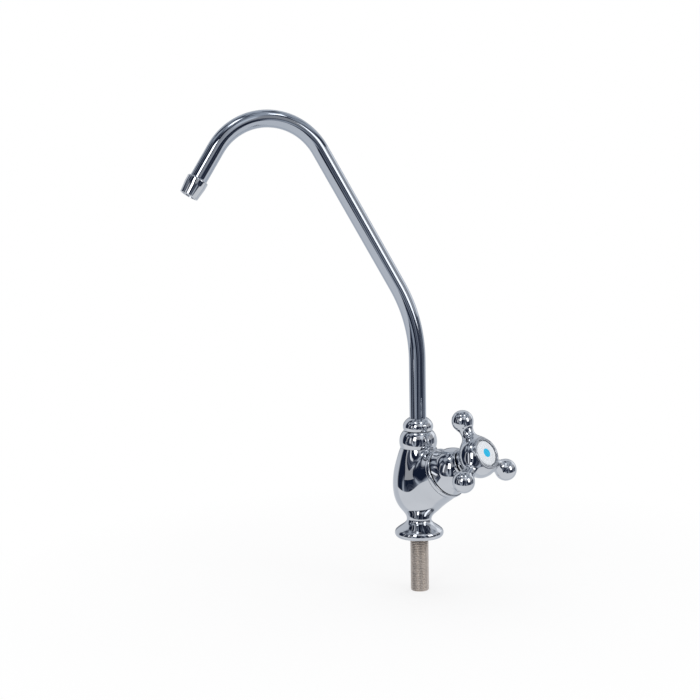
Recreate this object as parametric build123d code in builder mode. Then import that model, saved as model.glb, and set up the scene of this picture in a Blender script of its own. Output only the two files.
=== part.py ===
from build123d import *
import os
from math import cos, radians, sin

# Deck faucet for filtered water: swivelling gooseneck spout, oblique quarter-turn valve, three-armed handle.
# Millimetres and degrees. +Z is up, the origin is on the shank's axis in the plane of the sink deck,
# and the spout points towards -X. Threads are plain cylinders at their outer size.

# Clearances
thread_gap = 0.05
seal_gap = 0.05
bench_gap = 0.15
running_gap = 0.10
film_gap = 0.02
swivel_gap = 0.25
handle_gap = 0.70

# Threaded shank, 7/16 inch
shank_radius = 5.555
shank_length = 33.2
shank_bore_radius = 3.2
shank_relief_radius = 5.3
shank_thread_top = 1.0
shank_chamfer = 0.6
shank_grip = 7.1

# Base flange and its gasket, heights from the deck
flange_height = 10.9
flange_lift = 0.2
flange_foot_radius = 13.6
flange_rim_radius = 14.8
flange_rim_middle = 2.5
flange_rim_top_radius = 13.4
flange_rim_top = 5.0
flange_rim_pull = 1.9
flange_neck_pull = 2.9
flange_hole_gap = 0.3
gasket_hole_gap = 0.9
flange_recess_radius = 13.0
flange_cavity_radius = 11.4
flange_cavity_shoulder = 3.6
flange_cavity_throat_radius = 6.6
flange_cavity_height = 7.0
gasket_thickness = 2.2

# Cast body, bulb. Each rise is the height above the level before it, starting at the flange.
neck_radius = 7.45
hip_radius = 11.6
hip_rise = 7.1
belly_radius = 15.6
belly_rise = 13.0
chest_radius = 14.2
chest_rise = 12.0
shoulder_radius = 10.8
shoulder_rise = 11.5
shoulder_lean = 0.42
spigot_radius = 9.0
spigot_length = 6.0
pocket_radius = 7.7
pocket_depth = 4.0
socket_radius = 6.5
socket_depth = 8.5
waterway_radius = 3.0
outlet_drill_overlap = 1.3

# Valve axis: it crosses the shank's axis, rises from the deck and turns away from the spout
valve_height = 30.3
valve_tilt = 27.4
valve_turn = -62.0
handle_travel = 90.0

# Cast body, branch. Distances are along the valve axis from the shank's axis.
branch_back = 4.0
branch_back_side_radius = 13.5
branch_back_root_radius = 18.1
branch_middle = 11.3
branch_middle_side_radius = 14.8
branch_middle_root_radius = 16.5
branch_neck_radius = 15.0
branch_mouth = 25.6
lip_width = 3.0
lip_radius = 15.25
lip_round = 0.9
crease_radius = 4.5
chamber_radius = 10.5
chamber_floor = 8.0

# Lower collar, the nut that holds the spout
nut_height = 10.2
nut_foot_radius = 10.75
nut_bulge_radius = 11.4
nut_bulge_height = 3.9
nut_top_radius = 8.8
nut_web = 4.2

# Upper collar on the spout tube
collar_height = 7.5
collar_foot_radius = 8.6
collar_bulge_radius = 9.15
collar_bulge_height = 2.3
collar_top_radius = 5.7

# Spout tube, as straight runs and bends in the XZ plane
tube_radius = 5.0
tube_wall = 0.8
riser_top = 107.2
knee_radius = 90.0
rise_angle = 30.0
slope_length = 91.9
arch_radius = 35.5
leg_angle = 31.8
leg_length = 21.2

# Ferrule on the foot of the tube
ferrule_radius = 6.4
ferrule_bore_radius = 3.4
ferrule_grip = 5.0
ferrule_shoulder_radius = 7.5
ferrule_shoulder = 2.0
groove_radius = 4.95
groove_width = 1.9
groove_pitch = 3.6
groove_inset = 1.3
washer_inner_radius = 6.6

# Outlet nozzle, with distances from its upper end
nozzle_length = 11.0
nozzle_radius = 6.15
nozzle_band = 3.8
nozzle_shoulder_round = 0.9
nozzle_mouth_radius = 5.35
nozzle_grip = 1.5
nozzle_bore_radius = 4.0
nozzle_lip_round = 0.55
insert_length = 4.6
insert_slots = 8
insert_slot_width = 0.8
insert_slot_length = 1.9
insert_slot_circle = 2.7
nozzle_seal_length = 1.2

# Ceramic discs and their seal, stacked on the floor of the chamber
disc_radius = 6.8
disc_thickness = 2.8
port_inner_radius = 2.0
port_outer_radius = 5.2
port_angle = 76.0
seal_radius = 6.8
seal_bore_radius = 3.6
seal_thickness = 2.4

# Spindle
spindle_flange = 2.7
spindle_radius = 4.2
spindle_neck_length = 2.0
spline_radius = 3.6
spindle_groove_radius = 2.95
spindle_groove_width = 1.9
spindle_groove_inset = 3.2
spindle_groove_pitch = 5.0
drive_pin_radius = 1.0
drive_pin_reach = 4.4
drive_pin_length = 1.4
clip_groove_radius = 3.7
clip_thickness = 0.8
clip_outer_radius = 6.0
clip_opening = 50.0
glide_washer_radius = 6.3
glide_washer_thickness = 0.5
spindle_tap_depth = 8.0

# Valve headwork
barrel_radius = 8.6
barrel_lift = 1.0
barrel_bore_radius = 7.0
thread_length = 8.1
thread_radius = 10.45
headwork_flange_radius = 12.0
headwork_flange = 2.0
hex_width = 17.0
hex_height = 6.4
headwork_collar_radius = 6.6
headwork_height = 13.4
guide_radius = 4.3
window_width = 7.0
window_lift = 0.2
window_height = 3.6
stop_lug_angle = 30.0
stop_lug_radius = 5.6
stop_lug_lift = 0.25
stop_clearance_angle = 2.0
housing_groove_radius = 9.0
housing_groove_inset = 1.1
housing_groove_width = 1.9

# Bonnet, outline as radii and heights above the mouth of the branch
bonnet_foot_radius = 14.25
bonnet_joint_bevel = 0.5
bonnet_waist_radius = 13.0
bonnet_waist = 5.0
bonnet_dome_radius = 12.7
bonnet_dome = 7.8
bonnet_crown_radius = 9.5
bonnet_crown = 13.8
bonnet_ring_radius = 9.1
bonnet_height = 15.7
bonnet_wall = 2.1

# Handle, hub and arms, heights above the foot of the hub
hub_foot_radius = 8.2
hub_foot_length = 1.3
hub_radius = 12.35
hub_middle = 9.1
hub_bulge_radius = 11.75
hub_bulge = 13.2
hub_front_radius = 9.7
hub_front = 16.2
hub_bore_radius = 5.5
hub_web_foot = 8.4
hub_web = 2.0
screw_well_radius = 4.6
button_well_radius = 8.9
button_well_floor = 13.4
arm_count = 3
arm_turn = 91.3
arm_circle = 22.8
arm_root = 8.0
arm_root_radius = 6.9
arm_waist = 15.0
arm_waist_radius = 3.95
arm_blend = 2.2
ball_radius = 6.45
ball_neck_radius = 4.9

# Button, bezel, screw and insert
bezel_lip_radius = 9.3
bezel_lip = 1.0
bezel_bore_radius = 8.0
bezel_round = 0.45
button_radius = 7.9
button_edge = 0.2
button_dome = 0.55
screw_radius = 1.95
screw_tap_radius = 2.0
screw_head_radius = 3.6
screw_head = 2.2
screw_length = 8.0
screw_slot_width = 1.0
screw_slot_depth = 1.0

# Planes across the valve axis, at its origin, at the branch's mouth and at the foot of the hub
tilt = radians(valve_tilt)
turn = radians(valve_turn)
valve_plane = Plane(
    origin=(0, 0, valve_height),
    x_dir=(-sin(turn), cos(turn), 0),
    z_dir=(cos(tilt) * cos(turn), cos(tilt) * sin(turn), sin(tilt)),
)
mouth_plane = valve_plane.offset(branch_mouth)
hub_plane = mouth_plane.offset(bonnet_height + handle_gap)
valve_axis = Axis(valve_plane.origin, valve_plane.z_dir)
back_section = Plane(origin=(0, 0, 0), x_dir=(-cos(turn), -sin(turn), 0), z_dir=(-sin(turn), cos(turn), 0))


def lengthwise(plane):
    """Plane through a round piece's axis, X across it and Y along it."""
    return Plane(origin=plane.origin, x_dir=plane.x_dir, z_dir=-plane.y_dir)


def sector(outer, inner, middle, angle):
    """Sector of a ring about a middle angle, as a sketch."""
    with BuildSketch(mode=Mode.PRIVATE) as face:
        with BuildLine():
            far = CenterArc((0, 0), outer, middle - angle / 2, angle)
            near = CenterArc((0, 0), inner, middle - angle / 2, angle)
            Line(far @ 0, near @ 0)
            Line(far @ 1, near @ 1)
        make_face()
    return face.sketch


os.makedirs("parts", exist_ok=True)

# Threaded shank: feeds the body and clamps the faucet to the deck
socket_top = flange_height + shank_grip
with BuildPart() as threaded_shank:
    with BuildSketch(Plane.XZ):
        with BuildLine():
            Polyline(
                (shank_bore_radius, -shank_length),
                (shank_radius - shank_chamfer, -shank_length),
                (shank_radius, -shank_length + shank_chamfer),
                (shank_radius, shank_thread_top),
                (shank_relief_radius, shank_thread_top),
                (shank_relief_radius, flange_height),
                (shank_radius, flange_height),
                (shank_radius, socket_top),
                (shank_bore_radius, socket_top),
                close=True,
            )
        make_face()
    revolve(axis=Axis.Z)
threaded_shank.part.label = "threaded_shank"
export_step(threaded_shank.part, "parts/threaded_shank.step")

# Base flange: trumpet with a rounded rim, hollow below, with a recess for the gasket
flange_hole_radius = shank_radius + flange_hole_gap
with BuildPart() as base_flange:
    with BuildSketch(Plane.XZ):
        with BuildLine():
            rim = ThreePointArc(
                (flange_foot_radius, flange_lift),
                (flange_rim_radius, flange_rim_middle),
                (flange_rim_top_radius, flange_rim_top),
            )
            trumpet = Bezier(
                rim @ 1,
                (flange_rim_top_radius - flange_rim_pull, flange_rim_top + flange_rim_pull),
                (neck_radius, flange_height - flange_neck_pull),
                (neck_radius, flange_height),
            )
            Polyline(
                trumpet @ 1,
                (flange_hole_radius, flange_height),
                (flange_hole_radius, flange_cavity_height),
                (flange_cavity_throat_radius, flange_cavity_height),
                (flange_cavity_radius, flange_cavity_shoulder),
                (flange_cavity_radius, gasket_thickness),
                (flange_recess_radius, gasket_thickness),
                (flange_recess_radius, flange_lift),
                rim @ 0,
            )
        make_face()
    revolve(axis=Axis.Z)
base_flange.part.label = "base_flange"
export_step(base_flange.part, "parts/base_flange.step")

with BuildPart() as base_gasket:
    with BuildSketch(Plane.XY):
        Circle(flange_recess_radius - running_gap)
        Circle(shank_radius + gasket_hole_gap, mode=Mode.SUBTRACT)
    extrude(amount=gasket_thickness)
base_gasket.part.label = "base_gasket"
export_step(base_gasket.part, "parts/base_gasket.step")

# Cast body: bulb and branch in one, with the waterways, the spout's socket and the valve chamber
hip_height = flange_height + hip_rise
belly_height = hip_height + belly_rise
chest_height = belly_height + chest_rise
shoulder_height = chest_height + shoulder_rise
branch_neck = branch_mouth - lip_width
chamber_corner_reach = chamber_floor * cos(tilt) - chamber_radius * sin(tilt)
chamber_corner_height = valve_height + chamber_floor * sin(tilt) + chamber_radius * cos(tilt)
spigot_top = shoulder_height + spigot_length
pocket_floor = spigot_top - pocket_depth
socket_floor = pocket_floor - socket_depth
with BuildPart() as faucet_body:
    with BuildSketch(back_section):
        with BuildLine():
            Line((0, flange_height), (neck_radius, flange_height))
            flank = Spline(
                (neck_radius, flange_height),
                (hip_radius, hip_height),
                (belly_radius, belly_height),
                (chest_radius, chest_height),
                (shoulder_radius, shoulder_height),
                tangents=[(0, 1), (-shoulder_lean, 1)],
            )
            Polyline(
                flank @ 1,
                (spigot_radius, shoulder_height),
                (spigot_radius, spigot_top),
                (0, spigot_top),
                (0, flange_height),
            )
        make_face()
    revolve(axis=Axis.Z)
    with BuildSketch(valve_plane.offset(-branch_back)):
        Ellipse(branch_back_side_radius, branch_back_root_radius)
    with BuildSketch(valve_plane.offset(branch_middle)):
        Ellipse(branch_middle_side_radius, branch_middle_root_radius)
    with BuildSketch(valve_plane.offset(branch_neck)):
        Circle(branch_neck_radius)
    loft()
    fillet(faucet_body.edges(Select.NEW), radius=crease_radius)
    with BuildSketch(lengthwise(valve_plane)):
        with BuildLine():
            lip = Polyline(
                (0, branch_neck),
                (lip_radius, branch_neck),
                (lip_radius, branch_mouth),
                (0, branch_mouth),
            )
            Line(lip @ 1, lip @ 0)
        make_face()
        fillet(vertices().group_by(Axis.X)[-1], radius=lip_round)
    revolve(axis=valve_axis)
    # Shank socket and inlet, up to the valve axis and along it into the chamber
    with BuildSketch(Plane.XY.offset(flange_height)):
        Circle(shank_radius + thread_gap)
    extrude(amount=shank_grip, mode=Mode.SUBTRACT)
    with BuildSketch(Plane.XY.offset(flange_height)):
        Circle(waterway_radius)
    extrude(amount=valve_height - flange_height, mode=Mode.SUBTRACT)
    with Locations(valve_plane.origin):
        Sphere(waterway_radius, mode=Mode.SUBTRACT)
    with BuildSketch(valve_plane):
        Circle(waterway_radius)
    extrude(amount=branch_mouth, mode=Mode.SUBTRACT)
    with BuildSketch(valve_plane.offset(chamber_floor)):
        Circle(chamber_radius)
    extrude(amount=branch_mouth - chamber_floor, mode=Mode.SUBTRACT)
    # Swivel socket, stepped for the ferrule's shoulder, and the drilling down into the chamber's corner
    with BuildSketch(Plane.XY.offset(pocket_floor)):
        Circle(pocket_radius)
    extrude(amount=pocket_depth, mode=Mode.SUBTRACT)
    with BuildSketch(Plane.XY.offset(socket_floor)):
        Circle(socket_radius)
    extrude(amount=socket_depth, mode=Mode.SUBTRACT)
    drill_foot = chamber_corner_height - outlet_drill_overlap
    with BuildSketch(Plane.XY.offset(drill_foot)):
        with Locations((chamber_corner_reach * cos(turn), chamber_corner_reach * sin(turn))):
            Circle(waterway_radius)
    extrude(amount=socket_floor - drill_foot, mode=Mode.SUBTRACT)
faucet_body.part.label = "faucet_body"
export_step(faucet_body.part, "parts/faucet_body.step")

# Lower collar: nut that screws on the spigot and holds the spout's ferrule down
nut_foot = shoulder_height
nut_top = nut_foot + nut_height
nut_web_foot = nut_top - nut_web
with BuildPart() as swivel_nut:
    with BuildSketch(Plane.XZ):
        with BuildLine():
            bead = Spline(
                (nut_foot_radius, nut_foot),
                (nut_bulge_radius, nut_foot + nut_bulge_height),
                (nut_top_radius, nut_top),
                tangents=[(0.3, 1), (-1, 0.9)],
            )
            Polyline(
                bead @ 1,
                (tube_radius + swivel_gap, nut_top),
                (tube_radius + swivel_gap, nut_web_foot),
                (spigot_radius + thread_gap, nut_web_foot),
                (spigot_radius + thread_gap, nut_foot),
                bead @ 0,
            )
        make_face()
    revolve(axis=Axis.Z)
swivel_nut.part.label = "swivel_nut"
export_step(swivel_nut.part, "parts/swivel_nut.step")

# Ferrule brazed on the foot of the tube, with a shoulder and two ring grooves
ferrule_foot = socket_floor + swivel_gap
ferrule_top = nut_web_foot - bench_gap
tube_foot = ferrule_top - ferrule_grip
shoulder_foot = pocket_floor + running_gap
shoulder_top = shoulder_foot + ferrule_shoulder
groove_foots = [ferrule_foot + groove_inset, ferrule_foot + groove_inset + groove_pitch]
with BuildPart() as spout_ferrule:
    with BuildSketch(Plane.XY.offset(ferrule_foot)):
        Circle(ferrule_radius)
        Circle(ferrule_bore_radius, mode=Mode.SUBTRACT)
    extrude(amount=ferrule_top - ferrule_foot)
    with BuildSketch(Plane.XY.offset(shoulder_foot)):
        Circle(ferrule_shoulder_radius)
        Circle(ferrule_bore_radius, mode=Mode.SUBTRACT)
    extrude(amount=ferrule_shoulder)
    with BuildSketch(Plane.XY.offset(tube_foot)):
        Circle(tube_radius + thread_gap)
    extrude(amount=ferrule_grip, mode=Mode.SUBTRACT)
    for groove_foot in groove_foots:
        with BuildSketch(Plane.XY.offset(groove_foot)):
            Circle(ferrule_radius + running_gap)
            Circle(groove_radius, mode=Mode.SUBTRACT)
        extrude(amount=groove_width, mode=Mode.SUBTRACT)
spout_ferrule.part.label = "spout_ferrule"
export_step(spout_ferrule.part, "parts/spout_ferrule.step")

spout_ring_section = (socket_radius - seal_gap - groove_radius) / 2
with BuildPart() as spout_o_rings:
    for groove_foot in groove_foots:
        with Locations((0, 0, groove_foot + groove_width / 2)):
            Torus(groove_radius + spout_ring_section, spout_ring_section)
spout_o_rings.part.label = "spout_o_rings"
export_step(spout_o_rings.part, "parts/spout_o_rings.step")

with BuildPart() as swivel_washer:
    with BuildSketch(Plane.XY.offset(shoulder_top + running_gap)):
        Circle(ferrule_shoulder_radius)
        Circle(washer_inner_radius, mode=Mode.SUBTRACT)
    extrude(amount=nut_web_foot - shoulder_top - running_gap)
swivel_washer.part.label = "swivel_washer"
export_step(swivel_washer.part, "parts/swivel_washer.step")

# Spout tube: riser, knee, slope, arch and leg
with BuildLine(Plane.XZ) as spout_route:
    riser = Line((0, tube_foot), (0, riser_top))
    knee = JernArc(riser @ 1, riser % 1, radius=knee_radius, arc_size=rise_angle)
    slope = PolarLine(knee @ 1, slope_length, direction=knee % 1)
    arch = JernArc(slope @ 1, slope % 1, radius=arch_radius, arc_size=180 - rise_angle - leg_angle)
    leg = PolarLine(arch @ 1, leg_length, direction=arch % 1)
with BuildPart() as spout_tube:
    with BuildSketch(Plane.XY.offset(tube_foot)):
        Circle(tube_radius)
        Circle(tube_radius - tube_wall, mode=Mode.SUBTRACT)
    sweep(path=spout_route.wires()[0])
spout_tube.part.label = "spout_tube"
export_step(spout_tube.part, "parts/spout_tube.step")

# Upper collar, fixed on the tube
collar_foot = nut_top + swivel_gap
with BuildPart() as spout_collar:
    with BuildSketch(Plane.XZ):
        with BuildLine():
            bead = Spline(
                (collar_foot_radius, collar_foot),
                (collar_bulge_radius, collar_foot + collar_bulge_height),
                (collar_top_radius, collar_foot + collar_height),
                tangents=[(0.35, 1), (-1, 0.6)],
            )
            Polyline(
                bead @ 1,
                (tube_radius + thread_gap, collar_foot + collar_height),
                (tube_radius + thread_gap, collar_foot),
                bead @ 0,
            )
        make_face()
    revolve(axis=Axis.Z)
spout_collar.part.label = "spout_collar"
export_step(spout_collar.part, "parts/spout_collar.step")

# Nozzle and its insert, on the axis of the tube's leg. The nozzle's plane faces along the stream.
leg_end = leg @ 1
stream = leg % 1
nozzle_plane = Plane(origin=leg_end - stream * nozzle_grip, x_dir=(0, 1, 0), z_dir=stream)
nozzle_axis = Axis(nozzle_plane.origin, stream)
insert_foot = nozzle_grip + nozzle_seal_length
insert_end = insert_foot + insert_length
with BuildPart() as outlet_nozzle:
    with BuildSketch(lengthwise(nozzle_plane)):
        with BuildLine():
            Polyline(
                (tube_radius + thread_gap, 0),
                (nozzle_radius, 0),
                (nozzle_radius, nozzle_band),
                (nozzle_mouth_radius, nozzle_length),
                (nozzle_bore_radius, nozzle_length),
                (nozzle_bore_radius, insert_end),
                (tube_radius + thread_gap, insert_end),
                close=True,
            )
        make_face()
        corners = vertices().group_by(Axis.X)[-1].sort_by(Axis.Y)
        fillet(corners[0], radius=nozzle_shoulder_round)
        fillet(vertices().group_by(Axis.Y)[-1].sort_by(Axis.X)[-1], radius=nozzle_lip_round)
    revolve(axis=nozzle_axis)
outlet_nozzle.part.label = "outlet_nozzle"
export_step(outlet_nozzle.part, "parts/outlet_nozzle.step")

with BuildPart() as nozzle_seal:
    with BuildSketch(nozzle_plane.offset(nozzle_grip)):
        Circle(tube_radius - thread_gap)
        Circle(tube_radius - tube_wall, mode=Mode.SUBTRACT)
    extrude(amount=nozzle_seal_length)
nozzle_seal.part.label = "nozzle_seal"
export_step(nozzle_seal.part, "parts/nozzle_seal.step")

with BuildPart() as flow_straightener:
    with BuildSketch(nozzle_plane.offset(insert_foot)):
        Circle(tube_radius - thread_gap)
        with PolarLocations(insert_slot_circle, insert_slots):
            SlotOverall(insert_slot_length, insert_slot_width, mode=Mode.SUBTRACT)
    extrude(amount=insert_length)
flow_straightener.part.label = "flow_straightener"
export_step(flow_straightener.part, "parts/flow_straightener.step")

# Levels of the disc stack along the valve axis, from the chamber's floor up to the housing's shoulder
fixed_disc_foot = chamber_floor + seal_thickness
turning_disc_foot = fixed_disc_foot + disc_thickness + film_gap
spindle_foot = turning_disc_foot + disc_thickness
shoulder_level = spindle_foot + spindle_flange + running_gap

# Valve headwork: brass housing that screws into the branch, with two side windows and a stop lug
barrel_foot = chamber_floor + barrel_lift
thread_foot = branch_mouth - thread_length
headwork_top = branch_mouth + headwork_height
housing_groove_foot = thread_foot + housing_groove_inset
with BuildPart() as cartridge_housing:
    with BuildSketch(lengthwise(valve_plane)):
        with BuildLine():
            Polyline(
                (barrel_bore_radius, barrel_foot),
                (barrel_radius, barrel_foot),
                (barrel_radius, thread_foot),
                (thread_radius, thread_foot),
                (thread_radius, branch_mouth),
                (headwork_flange_radius, branch_mouth),
                (headwork_flange_radius, branch_mouth + headwork_flange),
                (headwork_collar_radius, branch_mouth + headwork_flange),
                (headwork_collar_radius, headwork_top),
                (guide_radius, headwork_top),
                (guide_radius, shoulder_level),
                (barrel_bore_radius, shoulder_level),
                close=True,
            )
        make_face()
    revolve(axis=valve_axis)
    with BuildSketch(mouth_plane.offset(headwork_flange)):
        RegularPolygon(hex_width / 2, 6, major_radius=False)
        Circle(guide_radius, mode=Mode.SUBTRACT)
    extrude(amount=hex_height)
    with BuildSketch(valve_plane.offset(housing_groove_foot)):
        Circle(thread_radius)
        Circle(housing_groove_radius, mode=Mode.SUBTRACT)
    extrude(amount=housing_groove_width, mode=Mode.SUBTRACT)
    with BuildSketch(valve_plane.offset(turning_disc_foot + window_lift)):
        Rectangle(window_width, 2 * chamber_radius)
        Circle(port_outer_radius, mode=Mode.SUBTRACT)
    extrude(amount=window_height, mode=Mode.SUBTRACT)
    with BuildSketch(valve_plane.offset(spindle_foot + stop_lug_lift)):
        add(sector(barrel_bore_radius + thread_gap, stop_lug_radius, 0, stop_lug_angle))
    extrude(amount=shoulder_level - spindle_foot - stop_lug_lift)
cartridge_housing.part.label = "cartridge_housing"
export_step(cartridge_housing.part, "parts/cartridge_housing.step")

housing_ring_section = (chamber_radius - housing_groove_radius) / 2
with BuildPart() as housing_o_ring:
    with Locations(valve_plane.offset(housing_groove_foot + housing_groove_width / 2)):
        Torus(housing_groove_radius + housing_ring_section, housing_ring_section)
housing_o_ring.part.label = "housing_o_ring"
export_step(housing_o_ring.part, "parts/housing_o_ring.step")

with BuildPart() as cartridge_seal:
    with BuildSketch(valve_plane.offset(chamber_floor)):
        Circle(seal_radius)
        Circle(seal_bore_radius, mode=Mode.SUBTRACT)
    extrude(amount=seal_thickness)
cartridge_seal.part.label = "cartridge_seal"
export_step(cartridge_seal.part, "parts/cartridge_seal.step")

# Ceramic discs: two ports in the fixed one, two open notches in the turning one, crossed when closed
with BuildPart() as fixed_ceramic_disc:
    with BuildSketch(valve_plane.offset(fixed_disc_foot)):
        Circle(disc_radius)
        for middle in (0, 180):
            add(sector(port_outer_radius, port_inner_radius, middle, port_angle), mode=Mode.SUBTRACT)
    extrude(amount=disc_thickness)
fixed_ceramic_disc.part.label = "fixed_ceramic_disc"
export_step(fixed_ceramic_disc.part, "parts/fixed_ceramic_disc.step")

with BuildPart() as rotating_ceramic_disc:
    with BuildSketch(valve_plane.offset(turning_disc_foot)):
        Circle(disc_radius)
        for middle in (90, 270):
            add(sector(barrel_bore_radius, port_inner_radius, middle, port_angle), mode=Mode.SUBTRACT)
    extrude(amount=disc_thickness)
    with BuildSketch(valve_plane.offset(turning_disc_foot + disc_thickness - drive_pin_length)):
        with PolarLocations(drive_pin_reach, 2):
            Circle(drive_pin_radius + thread_gap)
    extrude(amount=drive_pin_length, mode=Mode.SUBTRACT)
rotating_ceramic_disc.part.label = "rotating_ceramic_disc"
export_step(rotating_ceramic_disc.part, "parts/rotating_ceramic_disc.step")

# Spindle: flange with two drive pins and a stop notch, sealed stem, splined end with a tapped hole
spindle_shoulder = headwork_top + spindle_neck_length
spindle_end = branch_mouth + bonnet_height + handle_gap + hub_web_foot - bench_gap
clip_foot = headwork_top + glide_washer_thickness + running_gap
spindle_groove_foots = [
    shoulder_level + spindle_groove_inset,
    shoulder_level + spindle_groove_inset + spindle_groove_pitch,
]
with BuildPart() as valve_spindle:
    with BuildSketch(valve_plane.offset(spindle_foot)):
        Circle(disc_radius)
    extrude(amount=spindle_flange)
    with BuildSketch(valve_plane.offset(spindle_foot)):
        add(
            sector(
                barrel_bore_radius,
                stop_lug_radius - running_gap,
                -handle_travel / 2,
                handle_travel + stop_lug_angle + 2 * stop_clearance_angle,
            )
        )
    extrude(amount=shoulder_level - spindle_foot, mode=Mode.SUBTRACT)
    with BuildSketch(valve_plane.offset(spindle_foot)):
        Circle(spindle_radius)
    extrude(amount=spindle_shoulder - spindle_foot)
    with BuildSketch(valve_plane.offset(spindle_foot - drive_pin_length + running_gap)):
        with PolarLocations(drive_pin_reach, 2):
            Circle(drive_pin_radius)
    extrude(amount=drive_pin_length)
    with BuildSketch(valve_plane.offset(spindle_shoulder)):
        Circle(spline_radius)
    extrude(amount=spindle_end - spindle_shoulder)
    for groove_foot in spindle_groove_foots:
        with BuildSketch(valve_plane.offset(groove_foot)):
            Circle(spindle_radius)
            Circle(spindle_groove_radius, mode=Mode.SUBTRACT)
        extrude(amount=spindle_groove_width, mode=Mode.SUBTRACT)
    with BuildSketch(valve_plane.offset(clip_foot - film_gap)):
        Circle(spindle_radius)
        Circle(clip_groove_radius, mode=Mode.SUBTRACT)
    extrude(amount=clip_thickness + 2 * film_gap, mode=Mode.SUBTRACT)
    with BuildSketch(valve_plane.offset(spindle_end - spindle_tap_depth)):
        Circle(screw_tap_radius)
    extrude(amount=spindle_tap_depth, mode=Mode.SUBTRACT)
valve_spindle.part.label = "valve_spindle"
export_step(valve_spindle.part, "parts/valve_spindle.step")

spindle_ring_section = (guide_radius - seal_gap - spindle_groove_radius) / 2
with BuildPart() as spindle_o_rings:
    for groove_foot in spindle_groove_foots:
        with Locations(valve_plane.offset(groove_foot + spindle_groove_width / 2)):
            Torus(spindle_groove_radius + spindle_ring_section, spindle_ring_section)
spindle_o_rings.part.label = "spindle_o_rings"
export_step(spindle_o_rings.part, "parts/spindle_o_rings.step")

with BuildPart() as glide_washer:
    with BuildSketch(valve_plane.offset(headwork_top)):
        Circle(glide_washer_radius)
        Circle(guide_radius, mode=Mode.SUBTRACT)
    extrude(amount=glide_washer_thickness)
glide_washer.part.label = "glide_washer"
export_step(glide_washer.part, "parts/glide_washer.step")

with BuildPart() as spindle_clip:
    with BuildSketch(valve_plane.offset(clip_foot)):
        add(sector(clip_outer_radius, clip_groove_radius + thread_gap, 270, 360 - clip_opening))
    extrude(amount=clip_thickness)
spindle_clip.part.label = "spindle_clip"
export_step(spindle_clip.part, "parts/spindle_clip.step")

# Bonnet: thin domed cover over the headwork, held on its collar
hex_top = headwork_flange + hex_height
with BuildPart() as valve_bonnet:
    with BuildSketch(lengthwise(mouth_plane)):
        with BuildLine():
            skirt = Spline(
                (bonnet_foot_radius, bonnet_joint_bevel),
                (bonnet_waist_radius, bonnet_waist),
                tangents=[(-0.4, 1), (-0.2, 1)],
            )
            dome = Spline(
                skirt @ 1,
                (bonnet_dome_radius, bonnet_dome),
                (bonnet_crown_radius, bonnet_crown),
                tangents=[(0.1, 1), (-1, 1)],
            )
            Polyline(
                dome @ 1,
                (bonnet_ring_radius, bonnet_crown),
                (bonnet_ring_radius, bonnet_height),
                (headwork_collar_radius + thread_gap, bonnet_height),
                (headwork_collar_radius + thread_gap, hex_top + bench_gap),
                (bonnet_waist_radius - bonnet_wall, hex_top + bench_gap),
                (bonnet_waist_radius - bonnet_wall, bonnet_waist),
                (headwork_flange_radius + bench_gap, headwork_flange + bench_gap),
                (headwork_flange_radius + bench_gap, 0),
                (bonnet_foot_radius - bonnet_joint_bevel, 0),
                skirt @ 0,
            )
        make_face()
    revolve(axis=valve_axis)
valve_bonnet.part.label = "valve_bonnet"
export_step(valve_bonnet.part, "parts/valve_bonnet.step")

# Handle: hub turned about the valve axis, with three arms that flare into it and end in balls
arm_angles = [arm_turn + 360 * step / arm_count for step in range(arm_count)]
arm_centre = hub_plane.offset(hub_middle).origin
ball_start = arm_circle - (ball_radius**2 - ball_neck_radius**2) ** 0.5
with BuildPart() as tripod_handle:
    with BuildSketch(lengthwise(hub_plane)):
        with BuildLine():
            foot = Line((hub_foot_radius, 0), (hub_foot_radius, hub_foot_length))
            bell = Spline(foot @ 1, (hub_radius, hub_middle), tangents=[(0.6, 1), (0, 1)])
            brow = Spline(
                bell @ 1,
                (hub_bulge_radius, hub_bulge),
                (hub_front_radius, hub_front),
                tangents=[(0, 1), (-1, 0.9)],
            )
            Polyline(brow @ 1, (0, hub_front), (0, 0), foot @ 0)
        make_face()
    revolve(axis=valve_axis)
    for angle in arm_angles:
        arm_plane = Plane(
            origin=arm_centre,
            x_dir=hub_plane.x_dir * cos(radians(angle)) + hub_plane.y_dir * sin(radians(angle)),
            z_dir=hub_plane.z_dir,
        )
        with BuildSketch(arm_plane):
            with BuildLine():
                stem = Spline(
                    (arm_root, arm_root_radius),
                    (arm_waist, arm_waist_radius),
                    (ball_start, ball_neck_radius),
                    tangents=[(1, -0.9), (1, 0.6)],
                )
                ball = ThreePointArc(stem @ 1, (arm_circle, ball_radius), (arm_circle + ball_radius, 0))
                Polyline(ball @ 1, (arm_root, 0), stem @ 0)
            make_face()
        revolve(axis=Axis(arm_plane.origin, arm_plane.x_dir))
    creases = tripod_handle.edges().filter_by(GeomType.BSPLINE).sort_by(SortBy.LENGTH)[-arm_count:]
    fillet(creases, radius=arm_blend)
    with BuildSketch(hub_plane):
        Circle(hub_bore_radius)
    extrude(amount=hub_web_foot, mode=Mode.SUBTRACT)
    with BuildSketch(hub_plane.offset(hub_web_foot)):
        Circle(screw_tap_radius + bench_gap)
    extrude(amount=hub_web, mode=Mode.SUBTRACT)
    with BuildSketch(hub_plane.offset(hub_web_foot + hub_web)):
        Circle(screw_well_radius)
    extrude(amount=button_well_floor - hub_web_foot - hub_web, mode=Mode.SUBTRACT)
    with BuildSketch(hub_plane.offset(button_well_floor)):
        Circle(button_well_radius)
    extrude(amount=hub_front - button_well_floor, mode=Mode.SUBTRACT)
tripod_handle.part.label = "tripod_handle"
export_step(tripod_handle.part, "parts/tripod_handle.step")

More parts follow.
